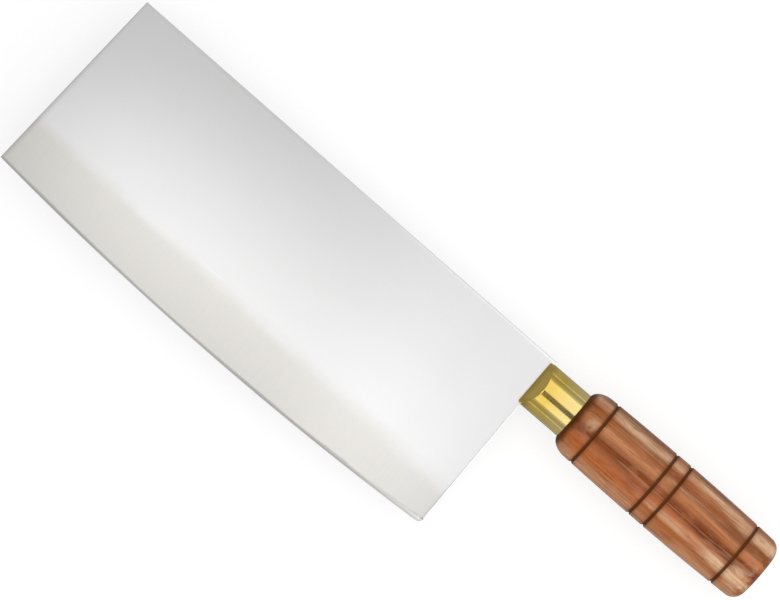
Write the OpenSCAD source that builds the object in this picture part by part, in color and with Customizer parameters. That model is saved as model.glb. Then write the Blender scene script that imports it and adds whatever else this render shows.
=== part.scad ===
// Chinese cleaver: a thin rectangular blade on a turned wooden handle with a brass collar.
// It lies flat, blade to the left: +X runs along the handle to its butt, +Y towards the spine
// and +Z out of the blade's upper face. The origin is under the middle of the whole knife,
// on the plane that the thickest part of the handle touches.

/* [Blade] */
// Length of the spine
spine_len = 199.4; // [150:0.1:240]
// Length of the heel edge, from the spine to the cutting edge
heel_len = 77.4; // [55:0.1:100]
// Length of the front edge, from the spine to the cutting edge
front_len = 78.1; // [55:0.1:110]
// Thickness of the plate
blade_t = 2.2; // [1.6:0.1:4]
// How far the cutting edge bows out beyond its own chord
edge_belly = 3.9; // [2:0.1:12]
// Height of the spine above the handle's axis at the heel
spine_rise = 10.7; // [10.2:0.1:16]
// Fall of the spine towards the handle, in degrees
spine_tilt = 0.6; // [0:0.1:4]
// Lean of the front edge away from square, in degrees
front_lean = 2.75; // [0:0.05:8]
// Lean of the heel edge away from square, in degrees
heel_lean = 0.5; // [0:0.1:2]
// Rounding of the corner between the heel and the cutting edge
heel_corner_r = 2; // [0.8:0.1:5]

/* [Grind] */
// Height of the plain flat between the spine and the ground band, at the front
flat_h = 58.7; // [40:0.1:66]
// Fall of the ground band's upper border towards the handle, in degrees
band_tilt = 1.5; // [0:0.1:3]
// Height of the ground band at the middle of the blade
band_h = 22.5; // [16:0.5:30]
// Thickness of the steel at the foot of the ground band
band_foot_t = 0.7; // [0.4:0.05:1]
// Angle of each side of the cutting edge, in degrees
edge_angle = 20; // [12:0.5:25]
// Thickness left along the cutting edge itself
edge_t = 0.1; // [0.05:0.01:0.2]

/* [Tang] */
// How deep the heel sits in the slot of the collar
seat_depth = 1.5; // [1:0.1:1.8]
// How much each face is ground back where the collar grips the heel
seat_relief = 0.1; // [0.05:0.05:0.3]
// Width of the tongue that the rod is welded to
tongue_w = 6; // [4:0.1:6.2]
// How far behind the front of the collar the tongue ends
tongue_end = 16; // [12:0.5:18]
// Diameter of the rod that runs through the handle
rod_d = 7; // [6.8:0.1:7.4]
// How far behind the front of the collar the rod starts
rod_start = 5; // [4.5:0.1:7]
// Diameter of the hammered head that holds the washer
head_d = 10; // [9:0.1:11.5]
// Height of the hammered head
head_h = 1.3; // [0.8:0.1:1.5]

/* [Collar] */
// Outer diameter of the collar
collar_d = 19.2; // [18:0.1:20]
// Length of the collar in front of the wood
collar_len = 19.1; // [17:0.1:24]
// Wall of the collar
collar_wall = 1; // [0.7:0.1:1.2]
// Thickness of the collar's nose, over both lips
nose_t = 4; // [3.6:0.1:5]
// Length of the two slanting faces of the nose
nose_len = 4.2; // [3.6:0.1:6]
// Rounding of the two outer corners of the nose
nose_corner = 1.2; // [0.6:0.1:2]

/* [Handle] */
// Length of the wooden grip
grip_len = 89.3; // [80:0.1:120]
// Diameter of the grip at its thickest
grip_d = 28.3; // [27.6:0.1:34]
// Diameter of the grip behind its front rounding
grip_front_d = 27.4; // [25:0.1:27.5]
// Diameter of the grip before its rear rounding
grip_butt_d = 26.7; // [25:0.1:27.5]
// How far the thickest place lies behind the middle of the grip
thick_shift = 2; // [-6:0.5:8]
// Diameter of the flat face at the front of the wood, from which its rounding starts
front_face_d = 18; // [17.8:0.1:22]
// Length of the front rounding
front_round = 7.2; // [4:0.1:8.2]
// Radius of the rear rounding
butt_round = 5; // [3:0.1:5.8]
// Place of the first turned groove, behind the front of the wood
groove_front = 10.1; // [9.5:0.1:14]
// Place of the middle of the centre pair of grooves
groove_pair = 41.65; // [30:0.05:55]
// Distance between the two grooves of the centre pair
groove_pair_gap = 6.9; // [4:0.1:12]
// Place of the last groove, measured back from the butt
groove_rear = 11.9; // [8.5:0.1:16]
// Width of each groove
groove_w = 1.2; // [0.8:0.1:2]
// Depth of each groove
groove_depth = 0.45; // [0.3:0.05:1.2]
// Diameter of the drilling for the tang
bore_d = 9; // [8.6:0.1:11]
// Thickness of wood left between the wide drilling and the washer
web_t = 6; // [4:0.5:12]
// Distance from the front of the collar to the end of the wooden spigot
spigot_start = 7; // [6.8:0.1:9]

/* [Washer] */
// Outer diameter of the washer
washer_d = 13.6; // [12.5:0.1:15]
// Thickness of the washer
washer_t = 1.2; // [0.8:0.1:1.6]
// Depth of the recess that the washer and the head lie in
recess_depth = 2.7; // [2.5:0.1:4]

/* [Clearances] */
// Gap left on each side between two pieces that are pressed or bonded together
fit_gap = 0.05; // [0.03:0.01:0.1]
// Gap round the washer in its recess, and round the rod in the washer
washer_gap = 0.2; // [0.1:0.05:0.4]

/* [Hidden] */
// Segments of the round outlines in the preview
fine = 180;
// Segments of the very wide arcs in the preview
wide = 1440;
// Overshoot of a cutting shape past the face that it cuts
over = 1;
// Straight pieces that stand for the round ends and the long curve of the grip
round_steps = 10;
barrel_steps = 8;
groove_steps = 6;

// The blade's corners, seen from above, with the collar's front on the handle's axis at 0, 0
heel_top = [seat_depth - spine_rise * tan(heel_lean), spine_rise];
front_top = heel_top + spine_len * [-cos(spine_tilt), sin(spine_tilt)];
front_foot = front_top + front_len * [-sin(front_lean), -cos(front_lean)];
heel_foot = heel_top + heel_len * [sin(heel_lean), -cos(heel_lean)];

// The arc of the cutting edge through the two lower corners
chord = heel_foot - front_foot;
chord_len = norm(chord);
edge_r = chord_len * chord_len / (8 * edge_belly) + edge_belly / 2;
edge_up = [-chord[1], chord[0]] / chord_len;
edge_centre = (heel_foot + front_foot) / 2 + edge_up * (edge_r - edge_belly);

// The rounding that joins the heel to the cutting edge
heel_dir = (heel_foot - heel_top) / heel_len;
heel_in = [heel_dir[1], -heel_dir[0]];
corner_line = heel_top + heel_in * heel_corner_r - edge_centre;
corner_along = corner_line * heel_dir;
corner_reach = edge_r - heel_corner_r;
corner_run = -corner_along + sqrt(corner_along * corner_along - corner_line * corner_line
    + corner_reach * corner_reach);
corner_c = edge_centre + corner_line + heel_dir * corner_run;

// Thicknesses at the seat in the collar, and the heel's furthest reach into it
seat_t = blade_t - 2 * seat_relief;
collar_r = collar_d / 2;
slot_depth = seat_depth + collar_r * tan(heel_lean) + fit_gap;

// The grip and its drillings, along the handle's axis
grip_start = collar_len;
grip_end = collar_len + grip_len;
recess_floor = grip_end - recess_depth;
bore_end = recess_floor - web_t;
thickest = (grip_start + grip_end) / 2 + thick_shift;
front_end = grip_start + front_round;
rear_end = grip_end - butt_round;
recess_d = washer_d + 2 * washer_gap;
rod_hole_d = rod_d + 2 * washer_gap;
head_base = recess_floor + washer_t + fit_gap;
groove_places = [
    grip_start + groove_front,
    grip_start + groove_pair - groove_pair_gap / 2,
    grip_start + groove_pair + groove_pair_gap / 2,
    grip_end - groove_rear
];

// The inner shape of the collar
collar_in_r = collar_r - collar_wall;
nose_rise = collar_r - nose_t / 2;
nose_shift = collar_wall * norm([nose_len, nose_rise]) / nose_rise;
cavity_start = slot_depth + collar_wall;

// The knife's outer box, from which its origin follows
box_left = min(front_foot[0], front_top[0]);
box_low = edge_centre[1] - edge_r;
box_high = max(front_top[1], heel_top[1], grip_d / 2);
middle = [(box_left + grip_end) / 2, (box_low + box_high) / 2];

// Puts a piece drawn round the handle's axis where the knife lies
module lay() {
    translate([-middle[0], -middle[1], grip_d / 2]) children();
}

// A cylinder along the handle's axis from one place to another
module bar(d, from, to) {
    translate([from, 0, 0]) rotate([0, 90, 0]) cylinder(d = d, h = to - from, $fn = fine);
}

// A body turned round the handle's axis from points that hold [radius, place]
module turned(points) {
    rotate([0, 90, 0]) rotate_extrude($fn = fine)
        polygon([for (p = points) [p[0], p[1]]]);
}

// The blade's outline seen from above, with its rounded heel corner
module blade_outline() {
    low = [0, -3 * edge_belly];
    reach = 4 * heel_corner_r;
    difference() {
        intersection() {
            polygon([heel_top, front_top, front_foot, front_foot + low, heel_foot + low, heel_foot]);
            translate(edge_centre) circle(r = edge_r, $fn = wide);
        }
        difference() {
            out = (corner_c - edge_centre) / corner_reach;
            polygon([
                corner_c,
                corner_c - heel_in * reach,
                corner_c - heel_in * reach + heel_dir * reach,
                corner_c + out * reach
            ]);
            translate(corner_c) circle(r = heel_corner_r, $fn = fine);
        }
    }
}

// The blade's section square to the ground band's upper border: flat, then thinning in the band
module grind_section() {
    slope = (blade_t - band_foot_t) / 2 / band_h;
    deep = band_h + edge_belly;
    foot = blade_t / 2 - slope * deep;
    polygon([
        [front_len, blade_t / 2], [-flat_h, blade_t / 2], [-flat_h - deep, foot],
        [-flat_h - deep, -foot], [-flat_h, -blade_t / 2], [front_len, -blade_t / 2]
    ]);
}

// The two sides of the cutting edge, turned round the centre of its arc
module edge_lens() {
    inner = edge_r - blade_t / 2 / tan(edge_angle);
    translate([edge_centre[0], edge_centre[1], 0]) rotate_extrude($fn = wide)
        polygon([
            [0, -blade_t / 2 - over], [inner - over / tan(edge_angle), -blade_t / 2 - over],
            [edge_r, -edge_t / 2], [edge_r, edge_t / 2],
            [inner - over / tan(edge_angle), blade_t / 2 + over], [0, blade_t / 2 + over]
        ]);
}

module blade() {
    color("gainsboro") lay() difference() {
        union() {
            intersection() {
                translate([0, 0, -blade_t]) linear_extrude(2 * blade_t) blade_outline();
                translate([front_top[0], front_top[1], 0]) rotate([0, 0, -band_tilt])
                    translate([-spine_len / 2, 0, 0]) rotate([90, 0, 90])
                    linear_extrude(2 * spine_len) grind_section();
                edge_lens();
            }
            translate([0, -tongue_w / 2, -seat_t / 2]) cube([tongue_end, tongue_w, seat_t]);
        }
        for (side = [0, 1]) mirror([0, 0, side])
            translate([-2 * fit_gap, -collar_r - 2 * fit_gap, seat_t / 2])
            cube([tongue_end, 2 * collar_r + 4 * fit_gap, blade_t]);
    }
}

// The rod and its head turned in one: a straight shank that ends in a shallow dome
module rod_turning() {
    dome_r = (head_d * head_d / 4 + head_h * head_h) / (2 * head_h);
    rotate([0, 90, 0]) rotate_extrude($fn = fine) {
        translate([0, rod_start]) square([rod_d / 2, head_base - rod_start]);
        intersection() {
            translate([0, head_base + head_h - dome_r]) circle(r = dome_r, $fn = fine);
            translate([0, head_base]) square([head_d, head_h + over]);
        }
    }
}

module tang_rod() {
    color("silver") lay() difference() {
        rod_turning();
        translate([rod_start - over, -rod_d, -seat_t / 2 - fit_gap])
            cube([tongue_end + fit_gap - rod_start + over, 2 * rod_d, seat_t + 2 * fit_gap]);
    }
}

// Outline of the collar seen from above, with rounded corners at the nose
module collar_plan() {
    inner = collar_r - nose_corner;
    translate([nose_corner, -collar_d]) square([collar_len, 2 * collar_d]);
    translate([0, -inner]) square([nose_corner + over, 2 * inner]);
    for (side = [-1, 1]) translate([nose_corner, side * inner]) circle(r = nose_corner, $fn = fine);
}

// The collar's solid form: a round bar whose front is cut to two slanting faces
module collar_form(r, from, shift) {
    intersection() {
        bar(2 * r, from, collar_len);
        translate([0, 0, -collar_d]) linear_extrude(2 * collar_d) collar_plan();
        rotate([90, 0, 0]) linear_extrude(2 * collar_d, center = true)
            polygon([
                [shift, nose_t / 2], [shift + nose_len, collar_r], [collar_len + over, collar_r],
                [collar_len + over, -collar_r], [shift + nose_len, -collar_r], [shift, -nose_t / 2]
            ]);
    }
}

module ferrule() {
    color("gold") lay() difference() {
        collar_form(collar_r, 0, 0);
        collar_form(collar_in_r, cavity_start, nose_shift);
        bar(2 * collar_in_r, collar_len - over, collar_len + over);
        translate([-over, -collar_d, -seat_t / 2 - fit_gap])
            cube([over + slot_depth, 2 * collar_d, seat_t + 2 * fit_gap]);
        translate([0, -tongue_w / 2 - fit_gap, -seat_t / 2 - fit_gap])
            cube([cavity_start + over, tongue_w + 2 * fit_gap, seat_t + 2 * fit_gap]);
    }
}

// Radius of the grip at a place along the handle, between its two roundings
function grip_r(x) = x < thickest
    ? grip_d / 2 - (grip_d - grip_front_d) / 2 * pow((thickest - x) / (thickest - front_end), 2)
    : grip_d / 2 - (grip_d - grip_butt_d) / 2 * pow((x - thickest) / (rear_end - thickest), 2);

// Points of the grip's surface between two places, and of the groove at one place
function barrel(from, to) = [for (i = [0 : barrel_steps])
    let (x = from + (to - from) * i / barrel_steps) [grip_r(x), x]];
function groove(x) = [for (i = [1 : groove_steps - 1])
    let (a = 180 * i / groove_steps) [grip_r(x) - groove_depth * sin(a), x - groove_w / 2 * cos(a)]];

// The grip's side, from rounding to rounding, with its grooves
function grip_side() = let (
    starts = concat([front_end], [for (x = groove_places) x + groove_w / 2]),
    ends = concat([for (x = groove_places) x - groove_w / 2], [rear_end])
) [for (i = [0 : len(starts) - 1])
    each concat(barrel(starts[i], ends[i]), i < len(groove_places) ? groove(groove_places[i]) : [])];

module grip() {
    front = [for (i = [0 : round_steps - 1]) let (a = 90 * i / round_steps)
        [(front_face_d + (grip_front_d - front_face_d) * sin(a)) / 2, front_end - front_round * cos(a)]];
    rear = [for (i = [1 : round_steps]) let (a = 90 * i / round_steps)
        [grip_butt_d / 2 - butt_round * (1 - cos(a)), rear_end + butt_round * sin(a)]];
    turned(concat([[0, grip_start]], front, grip_side(), rear, [[0, grip_end]]));
}

module handle() {
    color("sienna") lay() difference() {
        union() {
            grip();
            bar(2 * (collar_in_r - fit_gap), spigot_start, grip_start + over);
        }
        bar(bore_d, spigot_start - over, bore_end);
        bar(rod_hole_d, bore_end - over, recess_floor + over);
        bar(recess_d, recess_floor, grip_end + over);
    }
}

module butt_washer() {
    color("silver") lay() difference() {
        bar(washer_d, recess_floor, recess_floor + washer_t);
        bar(rod_hole_d, recess_floor - over, recess_floor + washer_t + over);
    }
}

module tang_bedding() {
    color("darkgoldenrod") lay() difference() {
        bar(bore_d - 2 * fit_gap, tongue_end + over, bore_end);
        bar(rod_d + 2 * fit_gap, tongue_end, bore_end + over);
    }
}

blade();
tang_rod();
ferrule();
handle();
butt_washer();
tang_bedding();
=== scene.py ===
import math

import bmesh
import bpy
from mathutils import Matrix, Vector, noise


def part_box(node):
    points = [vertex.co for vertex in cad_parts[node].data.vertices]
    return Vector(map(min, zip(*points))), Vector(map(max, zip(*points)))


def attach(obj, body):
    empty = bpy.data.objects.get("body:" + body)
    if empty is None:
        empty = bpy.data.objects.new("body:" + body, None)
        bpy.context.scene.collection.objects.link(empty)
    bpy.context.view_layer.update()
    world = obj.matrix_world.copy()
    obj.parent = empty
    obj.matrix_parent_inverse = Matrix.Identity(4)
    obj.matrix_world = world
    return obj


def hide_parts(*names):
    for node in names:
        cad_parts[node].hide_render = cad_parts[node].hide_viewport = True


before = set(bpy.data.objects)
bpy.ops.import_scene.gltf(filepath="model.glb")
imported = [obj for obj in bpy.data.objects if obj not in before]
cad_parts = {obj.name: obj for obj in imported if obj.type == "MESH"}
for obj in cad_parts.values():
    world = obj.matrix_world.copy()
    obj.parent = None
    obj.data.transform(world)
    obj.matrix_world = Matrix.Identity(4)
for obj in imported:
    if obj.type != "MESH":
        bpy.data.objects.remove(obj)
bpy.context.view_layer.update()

MM = 0.001

# The handle's axis and the collar, read from the frame
collar_low, collar_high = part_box("ferrule")
collar_front = collar_low.x
collar_r = (collar_high.y - collar_low.y) / 2 / MM
collar_len = (collar_high.x - collar_low.x) / MM
axis_y = (collar_low.y + collar_high.y) / 2
axis_z = (collar_low.z + collar_high.z) / 2
plate_low, plate_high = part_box("blade")
blade_t = (plate_high.z - plate_low.z) / MM
grip_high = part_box("handle")[1]
grip_d = (grip_high.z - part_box("handle")[0].z) / MM
grip_end = (grip_high.x - collar_front) / MM

# The blade in millimetres, from the front of the collar on the handle's axis
seat_depth = 1.5
spine_len = 199.4
heel_len = 77.4
front_len = 78.1
edge_belly = 3.9
spine_rise = 10.7
spine_tilt = math.radians(0.6)
front_lean = math.radians(2.75)
heel_lean = math.radians(0.5)
heel_corner_r = 2.0
flat_h = 58.7
band_tilt = math.radians(1.5)
band_h = 22.5
band_foot_t = 0.7
blend_front, blend_heel = 6.0, 10.0
edge_slope = math.tan(math.radians(20))
edge_t = 0.1
edge_ground = (band_foot_t - edge_t) / 2 / edge_slope
tongue_w = 6.0
tongue_end = 16.0
tongue_t = 2.0

# The collar, the rod and the washer in millimetres
nose_t = 4.0
nose_len = 4.2
nose_corner = 1.2
collar_wall = 1.0
slot_depth = 1.65
slot_t = 2.26
rod_r = 3.5
rod_start = 5.0
head_r = 5.0
head_h = 1.3
washer_r = 6.8
washer_t = 1.2
recess_depth = 2.7
recess_r = 7.0
rod_hole_r = 3.7

# The grip in millimetres
grip_start = collar_len
grip_front_d = 27.4
grip_butt_d = 26.7
front_face_d = 18.0
front_round = 7.2
butt_round = 5.0
bore_r = 4.5
spigot_start = 7.0
spigot_r = 8.45
web_t = 6.0
groove_w = 1.2
groove_depth = 0.45
groove_places = [grip_start + 10.1, grip_start + 38.2, grip_start + 45.1, grip_end - 11.9]

# The photograph's frame: its width, its scale and where the collar's front lies in it
photo_w, photo_h = 780, 600
photo_scale = 0.366
photo_collar = (534.25, 381.7)
photo_turn = math.radians(40.75)
camera_distance = 2.2

# The studio: height of the soft panels over the handle's axis, and the dim patch of the dome between
# them, given by how far it leans from the zenith along X and Y
panel_height = 350
patch_low = (0.005, -0.40)
patch_high = (0.20, 0.03)
patch_soft = 0.03
sensor_w = 36.0


def place(x, y, z):
    """A point given in millimetres from the front of the collar on the handle's axis, in the frame."""
    return Vector((collar_front + x * MM, axis_y + y * MM, axis_z + z * MM))


def make_object(name, points, faces, values=None, smooth=True):
    """A closed mesh from points in the frame, with named values held on its points."""
    mesh = bpy.data.meshes.new(name)
    mesh.from_pydata([tuple(p) for p in points], [], faces)
    for key, numbers in (values or {}).items():
        layer = mesh.attributes.new(key, "FLOAT", "POINT")
        layer.data.foreach_set("value", numbers)
    work = bmesh.new()
    work.from_mesh(mesh)
    bmesh.ops.remove_doubles(work, verts=work.verts, dist=1e-7)
    bmesh.ops.recalc_face_normals(work, faces=work.faces)
    for face in work.faces:
        face.smooth = smooth
    work.to_mesh(mesh)
    work.free()
    obj = bpy.data.objects.new(name, mesh)
    bpy.context.collection.objects.link(obj)
    return obj


def cut(obj, cutter):
    """Takes the cutter's shape out of the object for good."""
    step = obj.modifiers.new("cut", "BOOLEAN")
    step.operation = "DIFFERENCE"
    step.solver = "EXACT"
    step.object = cutter
    bpy.context.view_layer.update()
    graph = bpy.context.evaluated_depsgraph_get()
    mesh = bpy.data.meshes.new_from_object(obj.evaluated_get(graph))
    obj.modifiers.clear()
    obj.data = mesh
    bpy.data.objects.remove(cutter)


def sharpen(obj, degrees):
    """Smooth shading, with creases where faces meet at more than this angle."""
    obj.data.set_sharp_from_angle(angle=math.radians(degrees))


def box_object(name, low, high):
    """A plain box between two corners in millimetres, used to cut or to join."""
    points = [place(x, y, z) for x in (low[0], high[0]) for y in (low[1], high[1]) for z in (low[2], high[2])]
    faces = [(0, 1, 3, 2), (4, 6, 7, 5), (0, 4, 5, 1), (2, 3, 7, 6), (0, 2, 6, 4), (1, 5, 7, 3)]
    return make_object(name, points, faces, smooth=False)


def lathe(name, profile, turns, values=None):
    """A body turned round the handle's axis from a closed profile of (radius, place) in millimetres."""
    points, faces, spread = [], [], {key: [] for key in (values or {})}
    count = len(profile)
    for i in range(turns):
        angle = 2 * math.pi * i / turns
        for j, (r, x) in enumerate(profile):
            points.append(place(x, r * math.cos(angle), r * math.sin(angle)))
            for key in spread:
                spread[key].append(values[key][j])
    for i in range(turns):
        k = (i + 1) % turns
        for j in range(count):
            m = (j + 1) % count
            if profile[j][0] == 0 and profile[m][0] == 0:
                continue
            faces.append((i * count + j, i * count + m, k * count + m, k * count + j))
    return make_object(name, points, faces, spread)


# Shape of the blade

def corner(start, length, direction):
    return Vector((start.x + length * direction[0], start.y + length * direction[1]))


heel_top = Vector((seat_depth - spine_rise * math.tan(heel_lean), spine_rise))
spine_dir = (-math.cos(spine_tilt), math.sin(spine_tilt))
band_dir = (-math.cos(band_tilt), math.sin(band_tilt))
heel_dir = Vector((math.sin(heel_lean), -math.cos(heel_lean)))
front_dir = Vector((-math.sin(front_lean), -math.cos(front_lean)))
front_top = corner(heel_top, spine_len, spine_dir)
front_foot = corner(front_top, front_len, front_dir)
heel_foot = corner(heel_top, heel_len, heel_dir)
chord = heel_foot - front_foot
edge_r = chord.length ** 2 / (8 * edge_belly) + edge_belly / 2
edge_up = Vector((-chord.y, chord.x)) / chord.length
edge_centre = (heel_foot + front_foot) / 2 + edge_up * (edge_r - edge_belly)

# The rounding between heel and cutting edge: a circle that touches both
heel_in = Vector((heel_dir.y, -heel_dir.x))
to_line = heel_top + heel_in * heel_corner_r - edge_centre
along = to_line.dot(heel_dir)
reach = edge_r - heel_corner_r
corner_centre = edge_centre + to_line + heel_dir * (
    -along + math.sqrt(along ** 2 - to_line.length_squared + reach ** 2))
corner_start = corner_centre + (corner_centre - edge_centre).normalized() * heel_corner_r
corner_end = corner_centre - heel_in * heel_corner_r


def side_distance(p, start, direction):
    """How far a point of the blade lies inside the straight side through start."""
    return abs((p.x - start.x) * direction[1] - (p.y - start.y) * direction[0])


def edge_distance(p):
    """How far a point of the blade lies inside the cutting edge or its rounded heel corner."""
    inside = edge_r - (p - edge_centre).length
    out = p - corner_centre
    if out.dot(heel_in) < 0 and out.dot(corner_start - corner_centre) > 0:
        inside = min(inside, heel_corner_r - out.length)
    return max(inside, 0.0)


# The plate's sides that are eased: where each runs, how wide the easing is and how far it drops
eased_sides = [
    (heel_top, spine_dir, 0.9, 0.35),
    (heel_top, heel_dir, 0.5, 0.2),
    (front_top, front_dir, 1.5, 0.4),
]


def smooth_ramp(t):
    t = min(max(t, 0.0), 1.0)
    return t * t * (3 - 2 * t)


def band_place(p):
    """How far a point lies below the ground band's border, how wide the border's easing is there and
    how far the point lies along the easing, from 0 to 1."""
    depth = side_distance(p, front_top, band_dir) - flat_h
    blend = blend_heel + (blend_front - blend_heel) * side_distance(p, heel_top, heel_dir) / spine_len
    return depth, blend, min(max(depth / blend + 0.5, 0.0), 1.0)


def half_thickness(p):
    """Half the blade's thickness at a point: flat, ground band, cutting edge and rounded sides."""
    depth, blend, t = band_place(p)
    slope = (blade_t - band_foot_t) / 2 / band_h
    fall = slope * depth if t == 1 else slope * blend * t * t / 2
    half = blade_t / 2 - fall
    for start, direction, width, drop in eased_sides:
        d = side_distance(p, start, direction)
        if d < width:
            half -= drop * (1 - math.sqrt(1 - (1 - d / width) ** 2))
    return max(min(half, edge_t / 2 + edge_distance(p) * edge_slope), edge_t / 2)


def blade_bottom(t):
    """A point of the lower outline, from the front corner at 0 along the edge to the heel line at 1."""
    a0 = math.atan2(front_foot.y - edge_centre.y, front_foot.x - edge_centre.x)
    a1 = math.atan2(corner_start.y - edge_centre.y, corner_start.x - edge_centre.x)
    run = edge_r * (a1 - a0)
    b0 = math.atan2(corner_start.y - corner_centre.y, corner_start.x - corner_centre.x)
    b1 = math.atan2(corner_end.y - corner_centre.y, corner_end.x - corner_centre.x)
    turn = heel_corner_r * (b1 - b0)
    s = t * (run + turn)
    if s <= run:
        a = a0 + s / edge_r
        return edge_centre + edge_r * Vector((math.cos(a), math.sin(a)))
    b = b0 + (s - run) / heel_corner_r
    return corner_centre + heel_corner_r * Vector((math.cos(b), math.sin(b)))


def spaced(length, near, step):
    """Distances from 0 to length: close ones by both ends, then even steps of about one size."""
    inner = length - 2 * near[-1]
    count = max(int(inner / step), 1)
    middle = [near[-1] + inner * i / count for i in range(count + 1)]
    return near[:-1] + middle + [length - d for d in reversed(near[:-1])]


def make_blade():
    near = [0, 0.04, 0.1, 0.2, 0.35, 0.55, 0.8, 1.1, 1.5, 2.4]
    columns = [d / spine_len for d in spaced(spine_len, near, 2.5)]
    rows_down = [0, 0.04, 0.1, 0.2, 0.35, 0.6, 0.9, 1.5] + [3 * i for i in range(1, 18)]
    rows_down += [flat_h - 3 + 0.5 * i for i in range(23)]
    rows_up = [4, 3, 2.4, 2, 1.7, 1.4, 1.2, 1.0, 0.8, 0.6, 0.4, 0.2, 0]
    band_rows = 6
    sheet, band, edge = [], [], []
    for t in columns:
        top = front_top.lerp(heel_top, t)
        foot = blade_bottom(t)
        line = (foot - top).normalized()
        length = (foot - top).length
        downs = rows_down + [
            rows_down[-1] + (length - rows_up[0] - rows_down[-1]) * i / band_rows
            for i in range(1, band_rows)
        ] + [length - u for u in rows_up]
        sheet.append([top + line * d for d in downs])
    points, faces = [], []
    for side in (1, -1):
        for column in sheet:
            for p in column:
                points.append(place(p.x, p.y, side * half_thickness(p)))
                band.append(smooth_ramp(band_place(p)[2]))
                edge.append(smooth_ramp((edge_ground - edge_distance(p)) / 0.2 + 0.5))
    tall, wide = len(sheet[0]), len(sheet)
    back = tall * wide
    for i in range(wide - 1):
        for j in range(tall - 1):
            a, b = i * tall + j, (i + 1) * tall + j
            faces.append((a, a + 1, b + 1, b))
            faces.append((back + a, back + b, back + b + 1, back + a + 1))
    rim = [i * tall for i in range(wide)] + [(wide - 1) * tall + j for j in range(1, tall)]
    rim += [i * tall + tall - 1 for i in range(wide - 2, -1, -1)] + [j for j in range(tall - 2, 0, -1)]
    for k, a in enumerate(rim):
        b = rim[(k + 1) % len(rim)]
        faces.append((a, b, back + b, back + a))
    obj = make_object("blade_plate", points, faces, {"band": band, "edge": edge})
    sharpen(obj, 12)
    return obj


# Shape of the collar

def fillet(before, at, after, radius, steps):
    """Points that round the corner between two straight lines, in a plane."""
    a, b = (before - at), (after - at)
    if min(a.length, b.length) < 1e-6:
        return [at] * (steps + 1)
    cosine = max(min(a.normalized().dot(b.normalized()), 1.0), -1.0)
    half = math.acos(cosine) / 2
    if half > math.radians(89) or half < math.radians(1):
        return [at] * (steps + 1)
    run = min(radius / math.tan(half), 0.45 * a.length, 0.45 * b.length)
    start, end = at + a.normalized() * run, at + b.normalized() * run
    out = []
    for i in range(steps + 1):
        t = i / steps
        out.append(start * (1 - t) ** 2 + at * 2 * t * (1 - t) + end * t * t)
    return out


def collar_column(y, r, start, shift, soft):
    """The collar's outline at one distance from its axis, from the nose to the rear end."""
    tall = math.sqrt(max(r * r - y * y, 0.0))
    x0 = shift + start
    reach_y = abs(y) - (collar_r - nose_corner)
    if reach_y > 0 and soft > 0:
        x0 += nose_corner - math.sqrt(max(nose_corner ** 2 - reach_y ** 2, 0.0))
    lip = min(nose_t / 2, tall)
    slant = nose_len * max(tall - nose_t / 2, 0.0) / (collar_r - nose_t / 2)
    slant_x = max(shift + slant, x0)
    p0, p1, p2 = Vector((x0, 0)), Vector((x0, lip)), Vector((slant_x, tall))
    p3 = Vector((collar_len, tall))
    lower, upper = fillet(p0, p1, p2, soft, 5), fillet(p1, p2, p3, soft, 6)
    slanting = [lower[-1].lerp(upper[0], t) for t in (0.03, 0.25, 0.5, 0.75, 0.97)]
    level = [upper[-1].lerp(p3, t) for t in (0.012, 0.2, 0.4, 0.6, 0.8, 1)]
    return [p0] + lower + slanting + upper + level


def collar_body(name, r, start, shift, soft):
    """A closed solid of the collar's form: a round bar whose front has two slanting faces."""
    steps = 160
    angles = [math.pi * i / steps for i in range(steps + 1)]
    columns = [collar_column(-r * math.cos(a), r, start, shift, soft) for a in angles]
    tall = len(columns[0])
    points, faces = [], []
    for side in (1, -1):
        for a, column in zip(angles, columns):
            for p in column:
                points.append(place(p.x, -r * math.cos(a), side * p.y))
    back = tall * len(columns)
    for i in range(len(columns) - 1):
        for j in range(tall - 1):
            a, b = i * tall + j, (i + 1) * tall + j
            faces.append((a, a + 1, b + 1, b))
            faces.append((back + a, back + b, back + b + 1, back + a + 1))
        e, f = i * tall + tall - 1, (i + 1) * tall + tall - 1
        faces.append((e, back + e, back + f, f))
    return make_object(name, points, faces)


def make_collar():
    body = collar_body("collar_cap", collar_r, 0.0, 0.0, 0.45)
    slot = box_object("slot", (-1, -collar_r - 1, -slot_t / 2), (slot_depth, collar_r + 1, slot_t / 2))
    cut(body, slot)
    hollow_r = collar_r - collar_wall
    nose_rise = collar_r - nose_t / 2
    inner_start = slot_depth + collar_wall + nose_len * 0.4
    hollow = lathe("hollow", [(0, inner_start), (hollow_r * 0.35, inner_start),
        (hollow_r, inner_start + nose_rise * 0.4), (hollow_r, collar_len + 1), (0, collar_len + 1)], 96)
    cut(body, hollow)
    sharpen(body, 28)
    return body


# Shape of the grip

def grip_radius(x):
    middle = (grip_start + grip_end) / 2 + 2
    front, rear = grip_start + front_round, grip_end - butt_round
    if x < middle:
        return grip_d / 2 - (grip_d - grip_front_d) / 2 * ((middle - x) / (middle - front)) ** 2
    return grip_d / 2 - (grip_d - grip_butt_d) / 2 * ((x - middle) / (rear - middle)) ** 2


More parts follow.
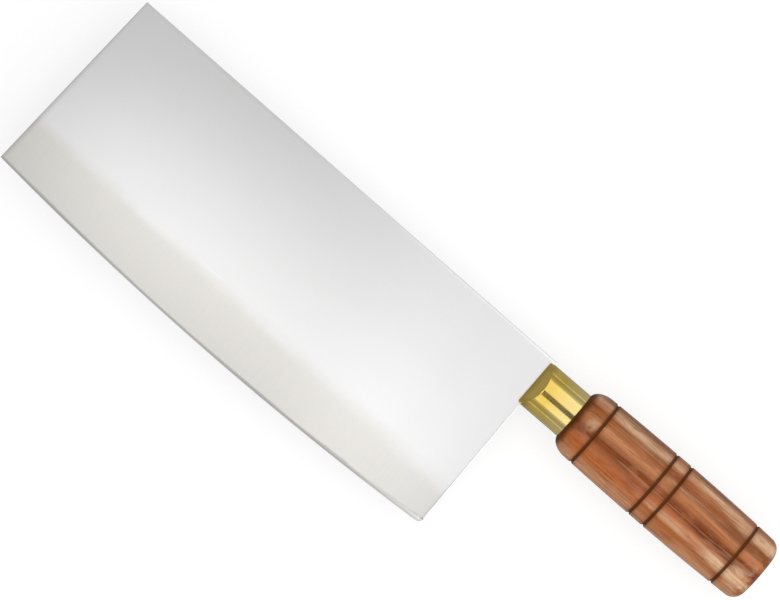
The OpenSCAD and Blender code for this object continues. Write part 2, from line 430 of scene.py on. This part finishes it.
def make_grip():
    front, rear = grip_start + front_round, grip_end - butt_round
    profile, burn_and_shade = [], []

    def add(r, x, dark=0.0):
        profile.append((r, x))
        burn_and_shade.append(dark)

    add(spigot_r, spigot_start)
    add(spigot_r, grip_start - 0.5)
    add(spigot_r, grip_start)
    # The front rounding, darkened near the collar: partly burnt, partly painted shade.
    for i in range(19):
        a = math.radians(90 * i / 18)
        r = (front_face_d + (grip_front_d - front_face_d) * math.sin(a)) / 2
        x = front - front_round * math.cos(a)
        add(r, x, smooth_ramp((grip_start + 3.4 - x) / 2.6))
    stops = [front] + groove_places + [rear]
    for k in range(len(stops) - 1):
        start = stops[k] + (groove_w / 2 + 0.25 if k else 0.3)
        end = stops[k + 1] - (groove_w / 2 + 0.25 if k < len(groove_places) else 0.3)
        count = max(int((end - start) / 1.2), 2)
        for i in range(count + 1):
            x = start + (end - start) * i / count
            add(grip_radius(x), x, 0.35 if (i == 0 and k) or (i == count and k < len(groove_places)) else 0.0)
        if k < len(groove_places):
            for i in range(9):
                t = i / 8
                x = groove_places[k] + (t - 0.5) * groove_w
                dip = groove_depth * math.sin(math.pi * t) ** 0.8
                add(grip_radius(x) - dip, x, 1.0 if 0 < i < 8 else 0.75)
    # The butt's rounding, darkened towards its end by painted shade.
    for i in range(1, 17):
        a = math.radians(90 * i / 16)
        x = rear + butt_round * math.sin(a)
        add(grip_butt_d / 2 - butt_round * (1 - math.cos(a)), x, 0.5 * smooth_ramp((x - grip_end + 1.4) / 1.2))
    # The recess for the washer, darkened by painted shade.
    for i in range(1, 4):
        a = math.radians(90 * i / 3)
        add(recess_r + 0.3 * (1 - math.sin(a)), grip_end - 0.3 * (1 - math.cos(a)), 0.2)
    recess_floor = grip_end - recess_depth
    add(recess_r, recess_floor, 0.6)
    add(rod_hole_r, recess_floor, 0.6)
    add(rod_hole_r, recess_floor - web_t)
    add(bore_r, recess_floor - web_t)
    add(bore_r, spigot_start)
    obj = lathe("wooden_grip", profile, 192, {"burn_and_shade": burn_and_shade})
    sharpen(obj, 40)
    return obj


# Shape of the rod's head and the washer

def make_rod():
    base = grip_end - recess_depth + washer_t + 0.05
    profile = [(0, rod_start), (rod_r, rod_start), (rod_r, base - 0.02), (head_r - 0.25, base)]
    profile += [(head_r, base + 0.2)]
    rim = 0.35
    for i in range(1, 13):
        t = i / 12
        profile.append((head_r * math.cos(math.pi / 2 * t) if t < 1 else 0.0,
            base + rim + (head_h - rim) * math.sin(math.pi / 2 * t)))
    obj = lathe("hammered_rod", profile, 96)
    limit = place(base + 0.3, 0, 0).x
    for v in obj.data.vertices:
        if v.co.x > limit:
            rel = v.co - place(base, 0, 0)
            dent = noise.noise(Vector((rel.y, rel.z, 0.0)) / (1.7 * MM)) * 0.09 * MM
            v.co.x -= abs(dent) + 0.02 * MM
    tongue = box_object("tongue_slot", (rod_start - 1, -rod_r - 1, -tongue_t / 2 - 0.05),
        (tongue_end + 0.05, rod_r + 1, tongue_t / 2 + 0.05))
    cut(obj, tongue)
    sharpen(obj, 40)
    return obj


def make_washer():
    floor = grip_end - recess_depth
    soft = 0.2
    profile = [
        (rod_hole_r, floor), (washer_r - soft, floor), (washer_r, floor + soft),
        (washer_r, floor + washer_t - soft), (washer_r - soft / 3, floor + washer_t - soft / 3),
        (washer_r - soft, floor + washer_t), (rod_hole_r, floor + washer_t)
    ]
    obj = lathe("recessed_washer", profile, 96)
    sharpen(obj, 40)
    return obj


# Materials

class Shader:
    """A small helper that adds shader nodes and joins them."""

    def __init__(self, owner):
        self.owner = owner
        owner.use_nodes = True
        self.tree = owner.node_tree
        self.tree.nodes.clear()

    def add(self, kind, inputs=None, **settings):
        made = self.tree.nodes.new(kind)
        for key, value in settings.items():
            setattr(made, key, value)
        for key, value in (inputs or {}).items():
            self.join(made, key, value)
        return made

    def join(self, made, key, value):
        socket = made.inputs[key]
        if isinstance(value, bpy.types.NodeSocket):
            self.tree.links.new(value, socket)
        else:
            socket.default_value = value

    def where(self, scale, turn=(0, 0, 0)):
        spot = self.add("ShaderNodeTexCoord").outputs["Object"]
        return self.add("ShaderNodeMapping", {"Vector": spot, "Scale": scale, "Rotation": turn}).outputs[0]

    def noise(self, vector, scale=1.0, detail=3.0, rough=0.5, distortion=0.0):
        return self.add("ShaderNodeTexNoise", {"Vector": vector, "Scale": scale, "Detail": detail,
            "Roughness": rough, "Distortion": distortion}).outputs["Fac"]

    def ramp(self, value, stops):
        made = self.add("ShaderNodeValToRGB", {"Fac": value})
        ramp = made.color_ramp
        while len(ramp.elements) < len(stops):
            ramp.elements.new(0.5)
        for element, (spot, color) in zip(ramp.elements, stops):
            element.position = spot
            element.color = color if len(color) == 4 else (*color, 1)
        return made.outputs["Color"]

    def span(self, value, a, b, c, d):
        return self.add("ShaderNodeMapRange", {"Value": value, "From Min": a, "From Max": b,
            "To Min": c, "To Max": d}).outputs["Result"]

    def math(self, operation, a, b=0.0):
        made = self.add("ShaderNodeMath", operation=operation)
        self.join(made, 0, a)
        self.join(made, 1, b)
        return made.outputs[0]

    def mix(self, factor, a, b, blend="MIX"):
        made = self.add("ShaderNodeMix", data_type="RGBA", blend_type=blend)
        for spot, value in ((0, factor), (6, a), (7, b)):
            if isinstance(value, tuple) and len(value) == 3:
                value = (*value, 1)
            self.join(made, spot, value)
        return made.outputs[2]

    def held(self, name):
        return self.add("ShaderNodeAttribute", attribute_name=name).outputs["Fac"]

    def finish(self, inputs):
        body = self.add("ShaderNodeBsdfPrincipled", inputs)
        self.add("ShaderNodeOutputMaterial", {"Surface": body.outputs[0]})
        return self.owner


def steel_material():
    s = Shader(bpy.data.materials.new("satin_ground_steel"))
    ground = s.held("band")
    wave = s.span(s.noise(s.where((55, 120, 120)), detail=2), 0.3, 0.7, -1, 1)
    between = s.math("MULTIPLY", ground, s.math("SUBTRACT", 1.0, ground))
    band = s.math("ADD", ground, s.math("MULTIPLY", between, wave))
    # The honed edge: its own smoother finish, and its colour painted darker, in patches, for the dark
    # reflection it shows.
    edge_patchiness = s.span(s.noise(s.where((16, 16, 16)), detail=1), 0.4, 0.6, 0.55, 1)
    edge = s.math("MULTIPLY", s.held("edge"), edge_patchiness)
    long_lines = s.noise(s.where((10, 3200, 3200)), detail=3, rough=0.6)
    cross_lines = s.noise(s.where((3200, 12, 3200), (0, 0, math.radians(3))), detail=3, rough=0.6)
    cloud = s.noise(s.where((22, 34, 34)), detail=2)
    lines = s.add("ShaderNodeMix", {0: band, 2: long_lines, 3: cross_lines}).outputs[0]
    flat_color = s.mix(s.span(cloud, 0.3, 0.7, 0, 1), (0.835, 0.835, 0.83), (0.85, 0.85, 0.85))
    band_color = s.mix(s.span(cross_lines, 0.3, 0.7, 0, 1), (0.755, 0.735, 0.695), (0.785, 0.765, 0.73))
    color = s.mix(band, flat_color, band_color)
    way = s.add("ShaderNodeSeparateXYZ", {0: s.add("ShaderNodeTexCoord").outputs["Object"]})
    back = s.math("SUBTRACT", way.outputs["X"], collar_front)
    # Painted light: the blade whitened over its last 25 mm towards the collar, up to half way to white, half
    # as much on the ground band.
    painted_light_by_heel = s.math("MULTIPLY", s.span(back, -25 * MM, 0, 0, 0.5), s.span(band, 0, 1, 1, 0.5))
    color = s.mix(painted_light_by_heel, color, (1, 1, 1))
    # Painted dark reflection along the honed edge.
    color = s.mix(edge, color, (0.58, 0.57, 0.56))
    rough = s.math("ADD", s.span(lines, 0.2, 0.8, 0.27, 0.31), s.math("MULTIPLY", edge, -0.08))
    bump = s.add("ShaderNodeBump", {"Strength": 0.03, "Distance": 0.00005, "Height": lines}).outputs[0]
    return s.finish({"Base Color": color, "Metallic": 1.0, "Roughness": rough, "Normal": bump})


def brass_material():
    s = Shader(bpy.data.materials.new("polished_brass"))
    turned = s.noise(s.where((3800, 40, 40)), detail=3, rough=0.6)
    cloud = s.noise(s.where((160, 160, 160)), detail=3, rough=0.55)
    way = s.add("ShaderNodeSeparateXYZ", {0: s.add("ShaderNodeTexCoord").outputs["Object"]})
    back = s.math("SUBTRACT", way.outputs["X"], collar_front)
    color = s.mix(s.span(cloud, 0.35, 0.7, 0, 1), (0.81, 0.57, 0.12), (0.86, 0.65, 0.19))
    # Painted light: the brass paler towards the wood, where more light falls on it.
    color = s.mix(s.span(back, 8 * MM, 17 * MM, 0, 1), color, (0.86, 0.68, 0.27))
    aside = s.math("ABSOLUTE", s.math("SUBTRACT", way.outputs["Y"], axis_y))
    # Painted shade: the nose and the sides of its slanting faces darkened to olive for the dark reflection
    # they show.
    nose_shade_and_floor_diffuse = s.math("MULTIPLY", s.span(back, 2.5 * MM, 4.5 * MM, 0.5, 0), s.span(aside, 5 * MM, 7.5 * MM, 0, 1))
    nose_shade_and_floor_diffuse = s.math("MAXIMUM", nose_shade_and_floor_diffuse, s.span(back, 0.3 * MM, 2.4 * MM, 0.6, 0))
    color = s.mix(nose_shade_and_floor_diffuse, color, (0.42, 0.27, 0.04))
    rough = s.math("ADD", s.span(cloud, 0.3, 0.7, 0.09, 0.12), s.span(turned, 0.3, 0.7, 0, 0.03))
    bump = s.add("ShaderNodeBump", {"Strength": 0.05, "Distance": 0.00005, "Height": turned}).outputs[0]
    return s.finish({"Base Color": color, "Metallic": 1.0, "Roughness": rough, "Normal": bump})


# The wood's colours, and its bands by distance in millimetres from the handle's middle plane. The bands are
# figure, except the pale bands near +11 and from -5.8 to -4.2 on the rear, which are painted highlights, and
# the dark band round the middle plane, which is a painted dark reflection
wood_dark_grain_and_reflection = (0.15, 0.022, 0.002)
wood_umber = (0.29, 0.080, 0.014)
wood_mid = (0.48, 0.150, 0.034)
wood_warm = (0.62, 0.235, 0.082)
wood_pale_grain_and_highlight = (0.95, 0.60, 0.36)
wood_red = (0.58, 0.15, 0.028)
wood_rose = (0.56, 0.20, 0.105)
wood_tan = (0.80, 0.36, 0.16)
wood_beige = (0.60, 0.37, 0.20)
wood_flame = (0.33, 0.07, 0.014)
bands_front = [
    (-15, wood_tan), (-11.2, wood_tan), (-9.5, wood_warm), (-7.5, wood_red), (-4, wood_red),
    (-1.6, wood_umber), (-0.2, wood_dark_grain_and_reflection), (1.1, wood_umber), (4, wood_warm), (6.5, wood_mid),
    (8.6, wood_umber), (10.9, wood_pale_grain_and_highlight), (13, wood_umber), (15, wood_mid)
]
bands_rear = [
    (-15, wood_tan), (-11.2, wood_tan), (-8.7, wood_mid), (-7.4, wood_mid), (-5.8, wood_pale_grain_and_highlight),
    (-4.2, wood_pale_grain_and_highlight), (-2.8, wood_mid), (-1.7, wood_umber), (-1, wood_dark_grain_and_reflection), (0.5, wood_dark_grain_and_reflection),
    (1.7, wood_umber), (2.8, wood_mid), (5, wood_warm), (6.8, wood_umber), (8.9, wood_umber),
    (10.6, wood_pale_grain_and_highlight), (12.1, wood_pale_grain_and_highlight), (13.6, wood_umber), (15, wood_mid)
]
bands_reach = 15
# Rounded marks in the figure, and two pale marks by the butt that are painted highlight: the middle of each
# along and across from the grip's middle, its half length and half width in millimetres, the share of them
# where it is full, its strength and its tone
wood_marks = [
    (-11.5, -2.2, 6.5, 4.6, 0.3, 0.8, wood_flame),
    (-4, 1.6, 3.2, 2.2, 0.4, 0.6, wood_rose),
    # Painted highlight on the butt's lower side.
    (38, -1.9, 5, 2, 0.4, 0.65, wood_pale_grain_and_highlight),
    (38, -8.6, 5, 2, 0.4, 0.6, wood_pale_grain_and_highlight),
    (-38, 3.0, 2.5, 2.7, 0.4, 0.85, wood_beige),
    (-38.3, 1.8, 1.0, 0.9, 0.3, 0.9, wood_umber),
]


def wood_material():
    s = Shader(bpy.data.materials.new("varnished_hardwood"))
    way = s.add("ShaderNodeSeparateXYZ", {0: s.add("ShaderNodeTexCoord").outputs["Object"]})
    centre = place((grip_start + grip_end) / 2, 0, 0)
    along = s.math("SUBTRACT", way.outputs["X"], centre.x)
    across = s.math("SUBTRACT", way.outputs["Y"], centre.y)
    deep = s.math("SUBTRACT", way.outputs["Z"], centre.z)
    across = s.math("ADD", across, s.math("MULTIPLY", along, 0.02))
    across = s.math("ADD", across, s.math("MULTIPLY", deep, 0.12))
    bend = s.noise(s.where((12, 50, 50)), detail=2)
    ripple = s.noise(s.where((60, 420, 420)), detail=3, rough=0.6)
    across = s.math("ADD", across, s.span(bend, 0.3, 0.7, -0.8 * MM, 0.8 * MM))
    across = s.math("ADD", across, s.span(ripple, 0.3, 0.7, -0.6 * MM, 0.6 * MM))
    spread = s.span(across, -bands_reach * MM, bands_reach * MM, 0, 1)
    # The bands, front and rear: figure, with painted highlights and a painted dark reflection among them.
    figure_and_reflections = [
        s.ramp(spread, [((spot + bands_reach) / 2 / bands_reach, tone) for spot, tone in bands])
        for bands in (bands_front, bands_rear)
    ]
    color = s.mix(s.span(along, -12 * MM, 4 * MM, 0, 1), *figure_and_reflections)
    streak = s.noise(s.where((24, 520, 520)), detail=4, rough=0.6)
    patch = s.noise(s.where((30, 110, 110)), detail=2, rough=0.5)
    mottle = s.noise(s.where((90, 210, 210)), detail=3, rough=0.6, distortion=0.4)
    pores = s.noise(s.where((130, 2400, 2400)), detail=2, rough=0.5)
    fibre = s.noise(s.where((70, 1500, 1500)), detail=3, rough=0.6)
    waver = s.span(s.noise(s.where((420, 420, 420)), detail=2), 0.3, 0.7, -0.7 * MM, 0.7 * MM)
    wavy_along = s.math("ADD", along, waver)
    # Lays the marks on: figure, and painted highlight by the butt.
    for mark_x, mark_y, half_x, half_y, full, strength, tone in wood_marks:
        off_x = s.math("DIVIDE", s.math("SUBTRACT", wavy_along, mark_x * MM), half_x * MM)
        off_y = s.math("DIVIDE", s.math("SUBTRACT", across, mark_y * MM), half_y * MM)
        off = s.add("ShaderNodeCombineXYZ", {"X": off_x, "Y": off_y}).outputs[0]
        far = s.add("ShaderNodeVectorMath", {0: off}, operation="LENGTH").outputs["Value"]
        color = s.mix(s.span(far, full, 1, strength, 0), color, tone)
    color = s.mix(s.span(streak, 0.54, 0.70, 0, 0.35), color, wood_pale_grain_and_highlight)
    color = s.mix(s.span(streak, 0.44, 0.30, 0, 0.7), color, wood_dark_grain_and_reflection)
    color = s.mix(s.span(patch, 0.52, 0.66, 0, 0.6), color, wood_red)
    color = s.mix(s.span(mottle, 0.52, 0.66, 0, 0.4), color, wood_rose)
    color = s.mix(s.span(mottle, 0.44, 0.32, 0, 0.4), color, wood_umber)
    color = s.mix(s.span(fibre, 0.35, 0.65, 0.25, 0.0), color, wood_umber)
    color = s.mix(s.span(pores, 0.61, 0.72, 0.0, 0.5), color, (0.07, 0.016, 0.004))
    # Darker wood along the burnt grooves, and painted shade on the front rim, the butt's end and the recess.
    burn_and_shade = s.held("burn_and_shade")
    color = s.mix(s.math("MULTIPLY", burn_and_shade, 0.95), color, (0.12, 0.031, 0.003))
    rough = s.math("ADD", s.span(fibre, 0.3, 0.7, 0.34, 0.46), s.math("MULTIPLY", burn_and_shade, 0.25))
    height = s.math("SUBTRACT", s.math("MULTIPLY", fibre, 0.4), s.span(pores, 0.60, 0.72, 0.0, 1.0))
    bump = s.add("ShaderNodeBump", {"Strength": 0.15, "Distance": 0.0001, "Height": height}).outputs[0]
    return s.finish({"Base Color": color, "Roughness": rough, "Normal": bump, "IOR": 1.5,
        "Specular IOR Level": 0.1, "Coat Weight": s.span(burn_and_shade, 0, 1, 0.45, 0.1), "Coat IOR": 1.55,
        "Coat Roughness": 0.12})


def plain_steel_material():
    s = Shader(bpy.data.materials.new("hammered_steel"))
    cloud = s.noise(s.where((700, 700, 700)), detail=4, rough=0.6)
    color = s.mix(s.span(cloud, 0.35, 0.65, 0, 1), (0.42, 0.41, 0.39), (0.60, 0.59, 0.57))
    bump = s.add("ShaderNodeBump", {"Strength": 0.15, "Distance": 0.0001, "Height": cloud}).outputs[0]
    return s.finish({"Base Color": color, "Metallic": 1.0, "Normal": bump,
        "Roughness": s.span(cloud, 0.3, 0.7, 0.32, 0.5)})


def resin_material():
    s = Shader(bpy.data.materials.new("bedding_resin"))
    cloud = s.noise(s.where((300, 300, 300)), detail=3)
    color = s.mix(s.span(cloud, 0.3, 0.7, 0, 1), (0.22, 0.13, 0.05), (0.32, 0.2, 0.09))
    return s.finish({"Base Color": color, "Roughness": s.span(cloud, 0.3, 0.7, 0.4, 0.55)})


# The stage: floor, lights, world and camera

def make_floor():
    half = 4.0
    level = 0.0
    corners = [(-half, -half, level), (half, -half, level), (half, half, level), (-half, half, level)]
    obj = make_object("floor", corners, [(0, 1, 2, 3)])
    s = Shader(bpy.data.materials.new("pale_floor"))
    path = s.add("ShaderNodeLightPath")
    mirrored = s.math("MAXIMUM", path.outputs["Is Glossy Ray"], path.outputs["Is Transmission Ray"])
    seen = s.math("ADD", path.outputs["Is Camera Ray"], s.math("MULTIPLY", mirrored, 0.2))
    nose_shade_and_floor_diffuse = s.add("ShaderNodeBsdfDiffuse", {"Color": (0.35, 0.35, 0.35, 1)})
    glow = s.add("ShaderNodeEmission", {"Color": (1, 1, 1, 1), "Strength": s.math("MULTIPLY", seen, 0.755)})
    both = s.add("ShaderNodeAddShader", {0: nose_shade_and_floor_diffuse.outputs[0], 1: glow.outputs[0]})
    s.add("ShaderNodeOutputMaterial", {"Surface": both.outputs[0]})
    obj.data.materials.append(s.owner)


def make_light(name, spot, aim, size, power):
    data = bpy.data.lights.new(name, "AREA")
    data.shape = "RECTANGLE"
    data.size, data.size_y = size
    data.energy = power
    obj = bpy.data.objects.new(name, data)
    obj.visible_camera = False
    obj.location = spot
    obj.rotation_mode = "QUATERNION"
    obj.rotation_quaternion = (Vector(aim) - Vector(spot)).to_track_quat("-Z", "Y")
    bpy.context.collection.objects.link(obj)


def make_panel(name, low, high, radiance):
    """A flat soft light over the knife, between two corners in millimetres from the collar."""
    size = ((high[0] - low[0]) * MM, (high[1] - low[1]) * MM)
    centre = place((low[0] + high[0]) / 2, (low[1] + high[1]) / 2, panel_height)
    make_light(name, centre, centre - Vector((0, 0, 1)), size, radiance * math.pi * size[0] * size[1])


def make_lights():
    make_panel("panel_over_blade", (-216, -105), (-74, -24), 1.02)
    make_panel("panel_over_heel", (-55, -133), (4, -13), 1.38)
    make_panel("panel_spine_side", (-79, 4), (487, 500), 0.48)
    make_panel("panel_edge_side", (4, -500), (487, -139), 0.51)
    make_light("panel_butt_side", place(760, 0, 450), place(100, 0, 0), (0.5, 0.5), 1.4)


def make_world():
    """A soft dome, white at the horizon, dim in a small patch over the handle and beyond the blade's end."""
    world = bpy.data.worlds.new("studio")
    bpy.context.scene.world = world
    s = Shader(world)
    way = s.add("ShaderNodeSeparateXYZ", {0: s.add("ShaderNodeTexCoord").outputs["Generated"]})
    height = way.outputs["Z"]
    levels = [(0.0, 1.0), (0.04, 0.9), (0.09, 0.42), (0.22, 0.38), (0.4, 0.44), (0.5, 0.6), (0.62, 0.7),
        (0.8, 0.64), (1.0, 0.625)]
    dome = s.ramp(height, [(spot, (level, level, level)) for spot, level in levels])
    inside = None
    for axis, low, high in zip("XY", patch_low, patch_high):
        lean = s.math("DIVIDE", way.outputs[axis], s.math("MAXIMUM", height, 0.01))
        near = s.math("MINIMUM", s.math("SUBTRACT", lean, low), s.math("SUBTRACT", high, lean))
        inside = near if inside is None else s.math("MINIMUM", inside, near)
    dim = s.span(inside, -patch_soft / 2, patch_soft / 2, 1.0, 0.12)
    dim = s.math("MULTIPLY", dim, s.span(way.outputs["X"], -0.9, -0.6, 0.6, 1.0))
    back = s.add("ShaderNodeBackground", {"Color": dome, "Strength": dim})
    s.add("ShaderNodeOutputWorld", {"Surface": back.outputs[0]})


def make_camera():
    """Looks straight down, turned so that the handle runs down to the right as in the photograph."""
    turn = Matrix.Rotation(photo_turn, 3, "Z")
    off = Vector((photo_w / 2 - photo_collar[0], photo_collar[1] - photo_h / 2, 0)) * photo_scale * MM
    data = bpy.data.cameras.new("camera")
    data.sensor_width = sensor_w
    data.lens = sensor_w * camera_distance / (photo_w * photo_scale * MM)
    data.clip_end = 50
    obj = bpy.data.objects.new("camera", data)
    obj.location = place(0, 0, blade_t / 2) + turn @ off + Vector((0, 0, camera_distance))
    obj.rotation_euler = (0, 0, photo_turn)
    bpy.context.collection.objects.link(obj)
    bpy.context.scene.camera = obj


def dress(obj, mat, slot_name, *nodes):
    """Gives a piece its material, and lets it stand for its nodes. The slot name is not used."""
    obj.data.materials.clear()
    obj.data.materials.append(mat)
    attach(obj, "root")
    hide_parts(*nodes)


plain_steel = plain_steel_material()
dress(make_blade(), steel_material(), "blade_steel", "blade")
dress(make_collar(), brass_material(), "collar_brass", "ferrule")
dress(make_grip(), wood_material(), "handle_wood", "handle")
dress(make_rod(), plain_steel, "rod_steel", "tang_rod")
dress(make_washer(), plain_steel, "rod_steel", "butt_washer")
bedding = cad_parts["tang_bedding"]
bedding.data.materials.clear()
bedding.data.materials.append(resin_material())

make_floor()
make_lights()
make_world()
make_camera()
bpy.context.scene.view_settings.view_transform = "Standard"
